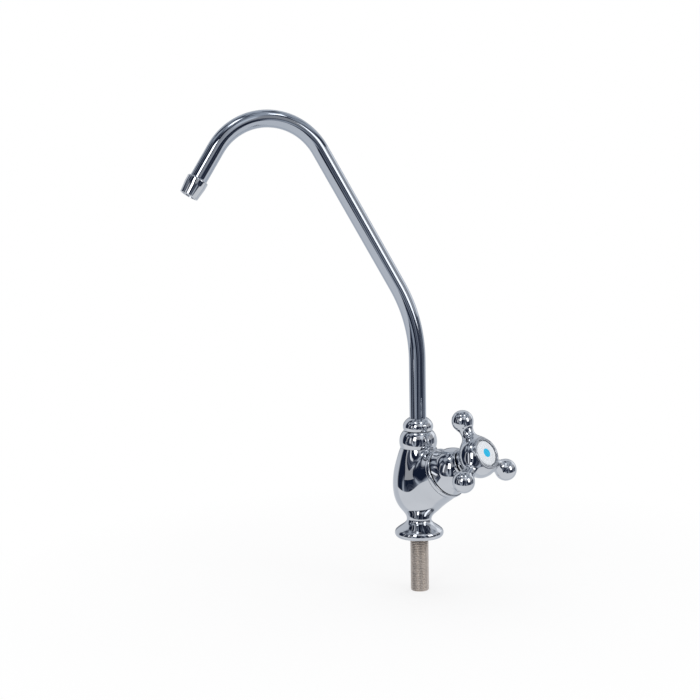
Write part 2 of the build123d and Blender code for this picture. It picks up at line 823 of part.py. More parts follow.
with BuildPart() as spline_insert:
    with BuildSketch(hub_plane.offset(hub_foot_length)):
        Circle(hub_bore_radius - thread_gap)
        Circle(spline_radius + thread_gap, mode=Mode.SUBTRACT)
    extrude(amount=hub_web_foot - hub_foot_length)
spline_insert.part.label = "spline_insert"
export_step(spline_insert.part, "parts/spline_insert.step")

screw_seat = hub_web_foot + hub_web
with BuildPart() as handle_screw:
    with BuildSketch(hub_plane.offset(screw_seat - screw_length)):
        Circle(screw_radius)
    extrude(amount=screw_length)
    with BuildSketch(hub_plane.offset(screw_seat)):
        Circle(screw_head_radius)
    extrude(amount=screw_head)
    with BuildSketch(hub_plane.offset(screw_seat + screw_head - screw_slot_depth)):
        Rectangle(2 * screw_head_radius, screw_slot_width)
        Rectangle(screw_slot_width, 2 * screw_head_radius)
    extrude(amount=screw_slot_depth, mode=Mode.SUBTRACT)
handle_screw.part.label = "handle_screw"
export_step(handle_screw.part, "parts/handle_screw.step")

with BuildPart() as button_bezel:
    with BuildSketch(lengthwise(hub_plane)):
        with BuildLine():
            Polyline(
                (bezel_bore_radius, button_well_floor),
                (button_well_radius - thread_gap, button_well_floor),
                (button_well_radius - thread_gap, hub_front),
                (bezel_lip_radius, hub_front),
                (bezel_lip_radius, hub_front + bezel_lip),
                (bezel_bore_radius, hub_front + bezel_lip),
                close=True,
            )
        make_face()
        fillet(vertices().group_by(Axis.Y)[-1], radius=bezel_round)
    revolve(axis=valve_axis)
button_bezel.part.label = "button_bezel"
export_step(button_bezel.part, "parts/button_bezel.step")

button_rim = hub_front + button_edge
with BuildPart() as index_button:
    with BuildSketch(lengthwise(hub_plane)):
        with BuildLine():
            face = ThreePointArc(
                (-button_radius, button_rim),
                (0, button_rim + button_dome),
                (button_radius, button_rim),
            )
            Polyline(face @ 1, (button_radius, button_well_floor), (0, button_well_floor))
            Polyline((0, button_well_floor), (-button_radius, button_well_floor), face @ 0)
        make_face()
        split(bisect_by=Plane.YZ)
    revolve(axis=valve_axis)
index_button.part.label = "index_button"
export_step(index_button.part, "parts/index_button.step")
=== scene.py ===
import math
import bmesh
import bpy
import numpy as np
from mathutils import Matrix, Vector


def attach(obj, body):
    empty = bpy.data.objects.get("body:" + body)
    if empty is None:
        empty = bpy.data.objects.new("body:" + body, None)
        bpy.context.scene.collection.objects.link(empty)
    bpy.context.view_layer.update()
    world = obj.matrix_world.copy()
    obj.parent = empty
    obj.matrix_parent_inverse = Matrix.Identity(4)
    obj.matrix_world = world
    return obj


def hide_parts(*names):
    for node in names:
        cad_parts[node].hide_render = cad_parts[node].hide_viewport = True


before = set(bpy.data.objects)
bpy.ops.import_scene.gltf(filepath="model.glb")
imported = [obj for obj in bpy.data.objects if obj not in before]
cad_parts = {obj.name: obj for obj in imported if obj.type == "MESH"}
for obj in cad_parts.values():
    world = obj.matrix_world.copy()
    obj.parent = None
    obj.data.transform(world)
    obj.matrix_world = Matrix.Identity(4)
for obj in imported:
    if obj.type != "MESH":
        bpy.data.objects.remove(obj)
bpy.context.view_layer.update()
scene = bpy.context.scene
scene.view_settings.view_transform = "Standard"
mm = 0.001
weld = 1e-7  # metres, nearer than this is the same point
fineTurn = 160  # steps of a full turn for a piece that is seen close
noiseEnds = (0.3, 0.7)  # between these lies most of a noise
print("frame loaded:", len(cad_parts), "nodes")


# shapes

def flowingCurve(points, startWay, endWay, steps):
    # smooth line through a few points, leaving and arriving along the given directions
    p = np.array(points, float)
    gaps = np.linalg.norm(np.diff(p, axis=0), axis=1)
    system = np.eye(len(p))
    ways = np.zeros_like(p)
    ways[0] = np.array(startWay) / np.linalg.norm(startWay)
    ways[-1] = np.array(endWay) / np.linalg.norm(endWay)
    for i in range(1, len(p) - 1):
        system[i, i - 1:i + 2] = gaps[i], 2 * (gaps[i - 1] + gaps[i]), gaps[i - 1]
        ways[i] = 3 * (gaps[i] * (p[i] - p[i - 1]) / gaps[i - 1] + gaps[i - 1] * (p[i + 1] - p[i]) / gaps[i])
    ways = np.linalg.solve(system, ways)
    line = []
    for i in range(len(p) - 1):
        for t in np.linspace(0, 1, steps, endpoint=False):
            line.append(
                (2 * t**3 - 3 * t**2 + 1) * p[i] + (t**3 - 2 * t**2 + t) * gaps[i] * ways[i]
                + (3 * t**2 - 2 * t**3) * p[i + 1] + (t**3 - t**2) * gaps[i] * ways[i + 1]
            )
    line.append(p[-1])
    return [tuple(point) for point in line]


def softCorner(before, at, after, cut, steps):
    # rounds one corner of an outline, starting and ending a cut's length away from it
    a, b, c = Vector(before), Vector(at), Vector(after)
    start = b + (a - b).normalized() * cut
    end = b + (c - b).normalized() * cut
    return [tuple(start.lerp(b, t).lerp(b.lerp(end, t), t)) for t in np.linspace(0, 1, steps)]


def axisPlace(origin, along, across):
    # matrix that lays a piece spun round Z along another axis
    z = Vector(along).normalized()
    x = Vector(across).normalized()
    y = z.cross(x)
    return Matrix.Translation(origin) @ Matrix((x, y, z)).transposed().to_4x4()


def spinOutline(bm, outline, steps, closed=False):
    # spins an outline of (radius, height) pairs in millimetres a full turn round Z
    verts = [bm.verts.new((r * mm, 0, z * mm)) for r, z in outline]
    pairs = list(zip(verts, verts[1:])) + ([(verts[-1], verts[0])] if closed else [])
    edges = [bm.edges.new(pair) for pair in pairs]
    bmesh.ops.spin(bm, geom=verts + edges, cent=(0, 0, 0), axis=(0, 0, 1), angle=2 * math.pi,
                   steps=steps, use_merge=True)
    bmesh.ops.remove_doubles(bm, verts=bm.verts, dist=weld)


def addPiece(name, bm, material, body, nodes, place=None, sharp=30):
    # makes a shape an object that stands for CAD nodes and moves with a body
    if place is not None:
        bmesh.ops.transform(bm, matrix=place, verts=bm.verts)
    bmesh.ops.recalc_face_normals(bm, faces=bm.faces)
    mesh = bpy.data.meshes.new(name)
    bm.to_mesh(mesh)
    bm.free()
    mesh.shade_smooth()
    mesh.set_sharp_from_angle(angle=math.radians(sharp))
    mesh.materials.append(material)
    piece = bpy.data.objects.new(name, mesh)
    scene.collection.objects.link(piece)
    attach(piece, body)
    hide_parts(*nodes)
    return piece


def mergeInto(bm, part, place):
    # turns a part to its place and adds it to a shape that is being built
    bmesh.ops.transform(part, matrix=place, verts=part.verts)
    mesh = bpy.data.meshes.new("part")
    part.to_mesh(mesh)
    part.free()
    bm.from_mesh(mesh)
    bpy.data.meshes.remove(mesh)


def meltedSkin(bm, grain):
    # joins overlapping closed shells into one even skin
    mesh = bpy.data.meshes.new("melt")
    bm.to_mesh(mesh)
    bm.free()
    holder = bpy.data.objects.new("melt", mesh)
    scene.collection.objects.link(holder)
    remesh = holder.modifiers.new("skin", "REMESH")
    remesh.mode = "VOXEL"
    remesh.voxel_size = grain
    skin = bpy.data.meshes.new_from_object(holder.evaluated_get(bpy.context.evaluated_depsgraph_get()))
    bpy.data.objects.remove(holder)
    bpy.data.meshes.remove(mesh)
    return skin


def settleOn(skin, depth, rounds=6, small=0.01, longest=0.5, flattest=0.05):
    # moves each vertex, in small steps, to where a depth function in millimetres is zero
    spots = np.empty(len(skin.vertices) * 3)
    skin.vertices.foreach_get("co", spots)
    spots = spots.reshape(-1, 3) / mm
    for _ in range(rounds):
        here = depth(spots)
        slope = np.stack([(depth(spots + small * way) - here) / small for way in np.eye(3)], axis=1)
        steep = np.maximum((slope**2).sum(axis=1), flattest)
        spots -= np.clip(here / steep, -longest, longest)[:, None] * slope
    skin.vertices.foreach_set("co", (spots * mm).ravel())


def meltedShape(bm, grain, depth):
    # melts a shape's shells together and settles the skin on the surface that is wanted
    skin = meltedSkin(bm, grain * mm)
    settleOn(skin, depth)
    bm = bmesh.new()
    bm.from_mesh(skin)
    bpy.data.meshes.remove(skin)
    return bm


def blendNear(a, b, reach):
    # the lower of two depths, rounded where they come near each other
    near = np.maximum(reach - np.abs(a - b), 0) / reach
    return np.minimum(a, b) - near**3 * reach / 6


def cutOff(bm, point, normal):
    # cuts off what lies beyond a plane and gives the edges of the cut
    cut = bmesh.ops.bisect_plane(bm, geom=bm.verts[:] + bm.edges[:] + bm.faces[:], dist=weld,
                                 plane_co=point, plane_no=normal, clear_outer=True)
    return [e for e in cut["geom_cut"] if isinstance(e, bmesh.types.BMEdge)]


def trimFlat(bm, point, normal):
    # cuts off what lies beyond a plane and closes the cut with a face
    return bmesh.ops.holes_fill(bm, edges=cutOff(bm, point, normal), sides=0)["faces"]


# materials

def newMaterial(name, colour, metallic, roughness):
    # a plain material, with its nodes and links at hand
    mat = bpy.data.materials.new(name)
    mat.use_nodes = True
    mat.diffuse_color = (*colour, 1)
    shader = mat.node_tree.nodes["Principled BSDF"]
    shader.inputs["Base Color"].default_value = (*colour, 1)
    shader.inputs["Metallic"].default_value = metallic
    shader.inputs["Roughness"].default_value = roughness
    return mat, mat.node_tree.nodes, mat.node_tree.links, shader


def speckle(nodes, links, scale, detail, stretch=(1, 1, 1), where="Object"):
    # noise over the piece, its scale in features per metre unless it follows the UV or a direction
    coords = nodes.new("ShaderNodeTexCoord")
    mapping = nodes.new("ShaderNodeMapping")
    mapping.inputs["Scale"].default_value = stretch
    noise = nodes.new("ShaderNodeTexNoise")
    noise.inputs["Scale"].default_value = scale
    noise.inputs["Detail"].default_value = detail
    links.new(coords.outputs[where], mapping.inputs["Vector"])
    links.new(mapping.outputs["Vector"], noise.inputs["Vector"])
    return noise


def spread(nodes, links, source, socket, low, high):
    # drives a value socket between two limits from a noise
    reach = nodes.new("ShaderNodeMapRange")
    for name, value in zip(("From Min", "From Max", "To Min", "To Max"), (*noiseEnds, low, high)):
        reach.inputs[name].default_value = value
    links.new(source.outputs["Fac"], reach.inputs["Value"])
    links.new(reach.outputs["Result"], socket)


def tint(nodes, links, source, socket, darker, lighter):
    # drives a colour socket between two colours from a noise
    ramp = nodes.new("ShaderNodeValToRGB")
    for stop, position, colour in zip(ramp.color_ramp.elements, noiseEnds, (darker, lighter)):
        stop.position, stop.color = position, (*colour, 1)
    links.new(source.outputs["Fac"], ramp.inputs["Fac"])
    links.new(ramp.outputs["Color"], socket)


def dents(nodes, links, source, shader, strength, depth):
    # fine relief from a noise
    bump = nodes.new("ShaderNodeBump")
    bump.inputs["Strength"].default_value = strength
    bump.inputs["Distance"].default_value = depth
    links.new(source.outputs["Fac"], bump.inputs["Height"])
    links.new(bump.outputs["Normal"], shader.inputs["Normal"])


def mixed(nodes, links, share, first, second):
    # shows the second shader by a share and the first by the rest
    mix = nodes.new("ShaderNodeMixShader")
    links.new(share, mix.inputs["Fac"])
    links.new(first, mix.inputs[1])
    links.new(second, mix.inputs[2])
    return mix.outputs["Shader"]


finishes = {
    "plate": (0.69, 0.71, 0.74),
    "plateDull": (0.64, 0.66, 0.69),
    "tube": (0.545, 0.585, 0.645),
    "shank": (0.74, 0.65, 0.57),
    "shankWorn": (0.71, 0.63, 0.555),
    "shankBright": (0.80, 0.71, 0.63),
    "button": (0.80, 0.83, 0.87),
    "mark": (0.0, 0.50, 0.82),
}


def makeChrome(name, rough=(0.016, 0.036), ripple=0.012):
    # mirror plating with a breath of haze and the faint ripple of polished castings
    mat, nodes, links, shader = newMaterial(name, finishes["plate"], 1.0, rough[0])
    cloud = speckle(nodes, links, 90, 3)
    tint(nodes, links, cloud, shader.inputs["Base Color"], finishes["plateDull"], finishes["plate"])
    spread(nodes, links, cloud, shader.inputs["Roughness"], *rough)
    dents(nodes, links, speckle(nodes, links, 420, 1), shader, ripple, 0.0002)
    return mat


def makeStock(name, colour, metallic, rough, scale=900, strength=0.15):
    # plain stock for the hidden parts, with a fine grain in colour, gloss and surface
    mat, nodes, links, shader = newMaterial(name, colour, metallic, rough)
    grain = speckle(nodes, links, scale, 4)
    tint(nodes, links, grain, shader.inputs["Base Color"], [c * 0.86 for c in colour],
         [min(c * 1.1, 1) for c in colour])
    spread(nodes, links, grain, shader.inputs["Roughness"], rough * 0.85, min(rough * 1.15, 1))
    dents(nodes, links, grain, shader, strength, 0.00005)
    return mat


def makeTubeChrome():
    # bright tube with faint drawing lines along its length, from the tube's own UV
    mat, nodes, links, shader = newMaterial("drawn chrome tube", finishes["tube"], 1.0, 0.06)
    lines = speckle(nodes, links, 60, 2, stretch=(1, 0.01, 1), where="UV")
    tint(nodes, links, lines, shader.inputs["Base Color"], [c * 0.94 for c in finishes["tube"]], finishes["tube"])
    spread(nodes, links, lines, shader.inputs["Roughness"], 0.05, 0.09)
    dents(nodes, links, lines, shader, 0.06, 0.00005)
    return mat


def makeShankMetal():
    # nickelled brass left dull, warmer where the plating is thin
    mat, nodes, links, shader = newMaterial("dull nickelled thread", finishes["shank"], 1.0, 0.42)
    cloud = speckle(nodes, links, 260, 4)
    tint(nodes, links, cloud, shader.inputs["Base Color"], finishes["shankWorn"], finishes["shankBright"])
    spread(nodes, links, cloud, shader.inputs["Roughness"], 0.36, 0.46)
    dents(nodes, links, speckle(nodes, links, 1500, 2), shader, 0.04, 0.00003)
    return mat


def makeGloss(name, colour):
    # moulded plastic under a clear face
    mat, nodes, links, shader = newMaterial(name, colour, 0.0, 0.16)
    shader.inputs["Coat Weight"].default_value = 0.6
    shader.inputs["Coat Roughness"].default_value = 0.04
    cloud = speckle(nodes, links, 500, 2)
    tint(nodes, links, cloud, shader.inputs["Base Color"], [c * 0.97 for c in colour], colour)
    spread(nodes, links, cloud, shader.inputs["Roughness"], 0.14, 0.2)
    dents(nodes, links, speckle(nodes, links, 220, 1), shader, 0.01, 0.0001)
    return mat


chrome = makeChrome("polished chrome")
tubeChrome = makeTubeChrome()
shankMetal = makeShankMetal()
buttonWhite = makeGloss("white enamel", finishes["button"])
buttonBlue = makeGloss("blue enamel", finishes["mark"])
brass = makeStock("bare brass", (0.72, 0.50, 0.22), 1.0, 0.28)
rubber = makeStock("black rubber", (0.02, 0.02, 0.022), 0.0, 0.62, strength=0.3)
acetal = makeStock("white acetal", (0.78, 0.77, 0.73), 0.0, 0.38)
ceramic = makeStock("white ceramic", (0.85, 0.84, 0.80), 0.0, 0.12, scale=1600, strength=0.05)
steel = makeStock("stainless steel", (0.56, 0.56, 0.57), 1.0, 0.22, scale=1400)
print("materials made")

# camera, table and light, set out in the camera's own bearings and turned to the faucet's

camera = {
    "lens": 66.857,  # 1300 pixels for a picture of 700 by 700
    "film": 36,  # its width, in millimetres as the lens is
    "pitch": 6.2,
    "roll": -1.0,
    "turn": -17.8,
    "distance": 0.7889,
    "across": 0.04206,  # from the picture's centre to the foot of the faucet
    "below": 0.11275,
}
studioTurn = Matrix.Rotation(math.radians(camera["turn"]), 4, "Z")
pitch, roll = math.radians(camera["pitch"]), math.radians(camera["roll"])
lookWay = Vector((0, math.cos(pitch), -math.sin(pitch)))
flatRight = Vector((1, 0, 0))
flatUp = flatRight.cross(lookWay)
rightWay = flatRight * math.cos(roll) + flatUp * math.sin(roll)
upWay = flatUp * math.cos(roll) - flatRight * math.sin(roll)
cameraSpot = -(rightWay * camera["across"] - upWay * camera["below"] + lookWay * camera["distance"])
cameraData = bpy.data.cameras.new("camera")
cameraData.lens = camera["lens"]
cameraData.sensor_width = camera["film"]
cameraObject = bpy.data.objects.new("camera", cameraData)
scene.collection.objects.link(cameraObject)
cameraObject.matrix_world = studioTurn @ (
    Matrix.Translation(cameraSpot) @ Matrix((rightWay, upWay, -lookWay)).transposed().to_4x4()
)
scene.camera = cameraObject

table = {
    "colour": (0.93, 0.93, 0.94),
    "level": -0.0334,
    "front": -0.36,
    "back": 0.80,
    "halfWidth": 0.55,
    "shadowReach": 0.30,
    "shadowShare": 0.28,
}


def makeTable():
    # white to the camera with the faucet's shadow on it
    mat = bpy.data.materials.new("white table")
    mat.use_nodes = True
    nodes, links = mat.node_tree.nodes, mat.node_tree.links
    nodes.clear()
    out = nodes.new("ShaderNodeOutputMaterial")
    plain = nodes.new("ShaderNodeBsdfDiffuse")
    plain.inputs["Color"].default_value = (*table["colour"], 1)
    bright = nodes.new("ShaderNodeEmission")
    bright.inputs["Color"].default_value = (1, 1, 1, 1)
    coords = nodes.new("ShaderNodeTexCoord")
    reach = nodes.new("ShaderNodeVectorMath")
    reach.operation = "LENGTH"
    fade = nodes.new("ShaderNodeMapRange")
    fade.inputs["From Max"].default_value = table["shadowReach"]
    fade.inputs["To Min"].default_value = 1 - table["shadowShare"]
    fade.inputs["To Max"].default_value = 1.0
    path = nodes.new("ShaderNodeLightPath")
    links.new(coords.outputs["Object"], reach.inputs[0])
    links.new(reach.outputs["Value"], fade.inputs["Value"])
    seen = mixed(nodes, links, fade.outputs["Result"], plain.outputs["BSDF"], bright.outputs["Emission"])
    toAll = mixed(nodes, links, path.outputs["Is Camera Ray"], plain.outputs["BSDF"], seen)
    links.new(toAll, out.inputs["Surface"])
    return mat


bm = bmesh.new()
bmesh.ops.create_grid(bm, x_segments=1, y_segments=1, size=1)
bmesh.ops.scale(bm, vec=(table["halfWidth"], (table["back"] - table["front"]) / 2, 1), verts=bm.verts)
bmesh.ops.translate(bm, vec=(0, (table["back"] + table["front"]) / 2, table["level"]), verts=bm.verts)
bmesh.ops.transform(bm, matrix=studioTurn, verts=bm.verts)
tableMesh = bpy.data.meshes.new("table")
bm.to_mesh(tableMesh)
bm.free()
tableMesh.materials.append(makeTable())
tableObject = bpy.data.objects.new("table", tableMesh)
scene.collection.objects.link(tableObject)
tableObject.visible_glossy = False  # the world below gives the chrome its pale floor

studio = {
    "backdrop": (0.63, 0.66, 0.71),  # what metal sees behind the faucet
    "backdropTone": ((0.30, 0.0), (0.42, 1.0), (0.86, 1.0), (0.94, 0.3)),  # from its edge to its dimmer middle
    "roomDark": (0.010, 0.016, 0.036),  # and in front of it: a dim room with paler uprights
    "roomMid": (0.095, 0.11, 0.15),
    "roomPale": (0.46, 0.50, 0.56),
    "roomStops": (0.50, 0.59, 0.68),
    "roomGrain": (4.2, 4.2, 0.9),
    "heights": ((-0.06, 0.04), (0.08, 0.02), (0.24, 0.0), (0.55, 0.05), (0.84, 0.15)),  # how much paler at each
    "floorTone": (0.77, 0.785, 0.815),
    "floorLean": 0.22,  # the floor's edge lies lower towards the camera
    "floorFade": (-0.262, -0.288),
    "fill": 0.60,  # even grey for surfaces that aren't metal
}


def makeStudio():
    # white to the camera, even grey to matt surfaces, and to metal a room that depends on direction
    world = bpy.data.worlds.new("studio")
    world.use_nodes = True
    nodes, links = world.node_tree.nodes, world.node_tree.links
    nodes.clear()
    direction = nodes.new("ShaderNodeTexCoord").outputs["Generated"]
    lookTurned = studioTurn.to_3x3() @ lookWay

    def along(way):
        # how far a direction points along a way
        dot = nodes.new("ShaderNodeVectorMath")
        dot.operation = "DOT_PRODUCT"
        dot.inputs[1].default_value = way
        links.new(direction, dot.inputs[0])
        return dot.outputs["Value"]

    def greys(value, stops):
        # a grey for each value from -1 to 1
        lift = nodes.new("ShaderNodeMapRange")
        lift.inputs["From Min"].default_value = -1
        ramp = nodes.new("ShaderNodeValToRGB")
        elements = ramp.color_ramp.elements
        for at, (place, grey) in enumerate(stops):
            stop = elements[at] if at < 2 else elements.new(place / 2 + 0.5)
            stop.position = place / 2 + 0.5
            stop.color = (grey, grey, grey, 1)
        links.new(value, lift.inputs["Value"])
        links.new(lift.outputs["Result"], ramp.inputs["Fac"])
        return ramp.outputs["Color"]

    def over(share, below, colour):
        # lays a colour over another by a share
        mix = nodes.new("ShaderNodeMix")
        mix.data_type = "RGBA"
        mix.inputs[7].default_value = (*colour, 1)
        links.new(share, mix.inputs[0])
        links.new(below, mix.inputs[6])
        return mix.outputs[2]

    def shows(colour):
        # a background of one colour
        background = nodes.new("ShaderNodeBackground")
        background.inputs["Color"].default_value = (*colour, 1)
        return background.outputs["Background"]

    uprights = speckle(nodes, links, 1, 3, stretch=studio["roomGrain"], where="Generated")
    paler = nodes.new("ShaderNodeMath")
    links.new(greys(along((0, 0, 1)), studio["heights"]), paler.inputs[0])
    links.new(uprights.outputs["Fac"], paler.inputs[1])
    room = nodes.new("ShaderNodeValToRGB")
    elements = room.color_ramp.elements
    dark, mid, pale = studio["roomStops"]
    elements[0].position, elements[0].color = dark, (*studio["roomDark"], 1)
    elements[1].position, elements[1].color = pale, (*studio["roomPale"], 1)
    elements.new(mid).color = (*studio["roomMid"], 1)
    links.new(paler.outputs["Value"], room.inputs["Fac"])

    floorGlow = nodes.new("ShaderNodeMapRange")
    floorGlow.interpolation_type = "SMOOTHSTEP"
    floorGlow.inputs["From Min"].default_value, floorGlow.inputs["From Max"].default_value = studio["floorFade"]
    links.new(along(Vector((0, 0, 1)) - lookTurned * studio["floorLean"]), floorGlow.inputs["Value"])
    withFloor = over(floorGlow.outputs["Result"], room.outputs["Color"], studio["floorTone"])
    withBackdrop = over(greys(along(lookTurned), studio["backdropTone"]), withFloor, studio["backdrop"])

    metalSees = nodes.new("ShaderNodeBackground")
    links.new(withBackdrop, metalSees.inputs["Color"])
    path = nodes.new("ShaderNodeLightPath")
    mirrored = nodes.new("ShaderNodeMath")
    mirrored.operation = "MAXIMUM"
    links.new(path.outputs["Is Glossy Ray"], mirrored.inputs[0])
    links.new(path.outputs["Is Transmission Ray"], mirrored.inputs[1])
    mattOrMetal = mixed(nodes, links, mirrored.outputs["Value"], shows([studio["fill"]] * 3),
                        metalSees.outputs["Background"])
    orCamera = mixed(nodes, links, path.outputs["Is Camera Ray"], mattOrMetal, shows((1, 1, 1)))
    out = nodes.new("ShaderNodeOutputWorld")
    links.new(orCamera, out.inputs["Surface"])
    return world


scene.world = makeStudio()

lamps = {  # bearing from the camera's side, rise, distance, width, height, power in watts
    "leftWindow": (-25, 25, 0.87, 0.22, 0.42, 0.95),
    "leftGrey": (-45, 8, 0.92, 0.34, 0.60, 0.13),
    "leftStrip": (-53, 12, 0.87, 0.10, 0.56, 0.13),
    "sideStrip": (-76, 14, 0.87, 0.10, 0.46, 0.055),
    "rightWindow": (53, 18, 0.87, 0.34, 0.50, 1.05),
    "rightGrey": (106, 22, 0.90, 1.36, 0.40, 0.66),
    "frontGrey": (14, 36, 0.50, 0.42, 0.26, 0.12),
    "highLeft": (-40, 65, 0.80, 0.16, 0.13, 0.16),
    "highRight": (42, 63, 0.80, 0.15, 0.12, 0.14),
    "topBox": (180, 84, 1.10, 1.40, 1.20, 3.20),
}
lampHeight = 0.08  # the height on the faucet's axis that they face
for name, (bearing, rise, away, width, height, power) in lamps.items():
    data = bpy.data.lights.new(name, "AREA")
    data.shape = "RECTANGLE"
    data.size = width
    data.size_y = height
    data.energy = power
    lamp = bpy.data.objects.new(name, data)
    lamp.visible_glossy = name != "topBox"  # lights the table and isn't mirrored
    scene.collection.objects.link(lamp)
    bearing, rise = math.radians(bearing), math.radians(rise)
    outwards = Vector((math.sin(bearing) * math.cos(rise), -math.cos(bearing) * math.cos(rise), math.sin(rise)))
    lampTurn = (-outwards).to_track_quat("-Z", "Y").to_matrix().to_4x4()
    lamp.matrix_world = studioTurn @ Matrix.Translation(outwards * away + Vector((0, 0, lampHeight))) @ lampTurn
print("camera and light set")

# threaded shank

shank = {
    "crest": 5.555,
    "root": 5.15,
    "pitch": 1.058,
    "flank": (0.62, 0.8),  # where a tooth's flank ends and its flat crest starts, in half pitches
    "crestRound": 0.03,
    "foot": -33.2,
    "top": 1.0,
    "chamfer": 0.35,
    "endLip": 0.02,
    "bore": 3.2,
    "boreChamfer": 0.4,
    "coreInset": 0.1,  # how far the core lies under the thread's root
    "reliefRadius": 5.3,
    "reliefTop": 10.9,
    "socketTop": 18.0,
    "screwSteps": 48,  # to one turn
    "coreSteps": 96,
}


def threadedShank():
    # one tooth spun up the shank as a screw, trimmed, with the bored core inside
    root, crest, pitch, foot, top, bore, relief = (
        shank[key] for key in ("root", "crest", "pitch", "foot", "top", "bore", "reliefRadius"))
    bm = bmesh.new()
    low = foot - 2 * pitch
    turns = math.ceil((top - low) / pitch) + 1
    flankEnd, crestStart = (share * pitch / 2 for share in shank["flank"])
    rising = [(root, 0), (crest - shank["crestRound"], flankEnd), (crest, crestStart)]
    tooth = rising + [(r, pitch - z) for r, z in reversed(rising)]
    verts = [bm.verts.new((r * mm, 0, (low + z) * mm)) for r, z in tooth]
    edges = [bm.edges.new(pair) for pair in zip(verts, verts[1:])]
    bmesh.ops.spin(bm, geom=verts + edges, cent=(0, 0, 0), axis=(0, 0, 1),
                   dvec=(0, 0, pitch * mm / shank["screwSteps"]), angle=2 * math.pi * turns,
                   steps=shank["screwSteps"] * turns)
    bmesh.ops.remove_doubles(bm, verts=bm.verts, dist=2e-6)  # each turn's last edge is the next one's first
    for level, way in ((foot, -1), (top, 1)):
        cutOff(bm, (0, 0, level * mm), (0, 0, way))
    lead = crest - shank["chamfer"]
    for v in bm.verts:  # turned lead at the end of the thread
        limit = lead * mm + (v.co.z - foot * mm)
        across = math.hypot(v.co.x, v.co.y)
        if across > limit:
            v.co.x, v.co.y = v.co.x * limit / across, v.co.y * limit / across
    inlet, core = bore + shank["boreChamfer"], root - shank["coreInset"]
    spinOutline(bm, [(inlet, foot), (lead, foot), (lead, foot + shank["endLip"])], shank["coreSteps"])
    spinOutline(bm, [
        (inlet, foot), (bore, foot + shank["boreChamfer"]), (bore, shank["socketTop"]), (crest, shank["socketTop"]),
        (crest, shank["reliefTop"]), (relief, shank["reliefTop"]), (relief, top),
        (core, top), (core, foot + shank["coreInset"]),
    ], shank["coreSteps"])
    addPiece("threadedShank", bm, shankMetal, "base", ["threaded_shank"], sharp=50)


threadedShank()
print("threaded shank made")

# base flange

flange = {
    "foot": (13.6, 0.2),
    "footWay": (2.35, 1.67),
    "rim": (14.8, 2.5),
    "rimTop": (13.4, 5.0),
    "rimTopWay": (-2.45, 1.47),
    "neck": (7.45, 10.9),
    "hole": 5.855,
    "holeFoot": 7.0,
    "hollow": [(6.6, 7.0), (11.4, 3.6), (11.4, 2.2), (13.0, 2.2), (13.0, 0.2)],  # the last three seat the gasket
}
rim = flowingCurve([flange["foot"], flange["rim"], flange["rimTop"]], flange["footWay"], flange["rimTopWay"], 16)
trumpet = flowingCurve([flange["rimTop"], flange["neck"]], (-1, 1), (0, 1), 40)
hole = [(flange["hole"], flange["neck"][1]), (flange["hole"], flange["holeFoot"])]
bm = bmesh.new()
spinOutline(bm, rim + trumpet[1:] + hole + flange["hollow"], fineTurn, closed=True)
addPiece("baseFlange", bm, chrome, "base", ["base_flange"])
print("base flange made")

# cast body: bulb and oblique branch melted into one skin

valve = {"height": 30.3, "tilt": 27.4, "turn": -62.0, "mouth": 25.6, "hubFoot": 42.0}
body = {
    "foot": 10.9,
    "top": 54.5,
    "outline": [(7.45, 10.9), (11.6, 18.0), (15.6, 31.0), (14.2, 43.0), (10.8, 54.5)],
    "shoulderWay": (-0.42, 1),
    "runsOn": ((7.45, 9.0), (10.4, 56.5)),  # the bulb's ends before they are trimmed
    "branchAlong": (-4.0, 11.3, 22.6),
    "branchSide": (13.5, 14.8, 15.0),
    "branchRoot": (18.1, 16.5, 15.0),
    "branchRings": (-4.0, 4.0, 11.3, 17.0, 24.6),
    "crease": 7.0,
    "backRound": 12.0,
    "lip": 15.25,
    "lipRound": 0.9,
    "lipInside": 13.0,
    "lipBore": (10.6, 24.0),
    "grain": 0.36,
}
tilt, turn = math.radians(valve["tilt"]), math.radians(valve["turn"])
valveWay = Vector((math.cos(tilt) * math.cos(turn), math.cos(tilt) * math.sin(turn), math.sin(tilt)))
valveSide = Vector((-math.sin(turn), math.cos(turn), 0))
valvePlace = axisPlace(Vector((0, 0, valve["height"] * mm)), valveWay, valveSide)
hubPlace = valvePlace @ Matrix.Translation((0, 0, valve["hubFoot"] * mm))
mouthPlace = valvePlace @ Matrix.Translation((0, 0, valve["mouth"] * mm))


def localSpots(spots, place):
    # points in millimetres, seen from a place
    turned = np.array(place.to_3x3())
    return (spots - np.array(place.translation) / mm) @ turned


def outlineDepth(across, along, line):
    # how far points lie outside a spun outline, given as (radius, height) pairs
    heights = np.array([z for _, z in line])
    radii = np.array([r for r, _ in line])
    lean = np.gradient(radii, heights)
    return (across - np.interp(along, heights, radii)) / np.sqrt(1 + np.interp(along, heights, lean) ** 2)


bulbLine = flowingCurve(body["outline"], (0, 1), body["shoulderWay"], 120)
sideFit = np.polyfit(body["branchAlong"], body["branchSide"], 2)
rootFit = np.polyfit(body["branchAlong"], body["branchRoot"], 2)


def bodyDepth(spots):
    # how far points lie outside the cast skin: a spun bulb and an oval branch, blended where they meet
    bulb = outlineDepth(np.hypot(spots[:, 0], spots[:, 1]), spots[:, 2], bulbLine)
    at = localSpots(spots, valvePlace)
    stretch = np.hypot(at[:, 0] / np.polyval(sideFit, at[:, 2]), at[:, 1] / np.polyval(rootFit, at[:, 2]))
    branch = np.hypot(at[:, 0], at[:, 1]) * (1 - 1 / np.maximum(stretch, 1e-3))
    behind = body["branchAlong"][0] - at[:, 2]
    return blendNear(bulb, -blendNear(-branch, -behind, body["backRound"]), body["crease"])


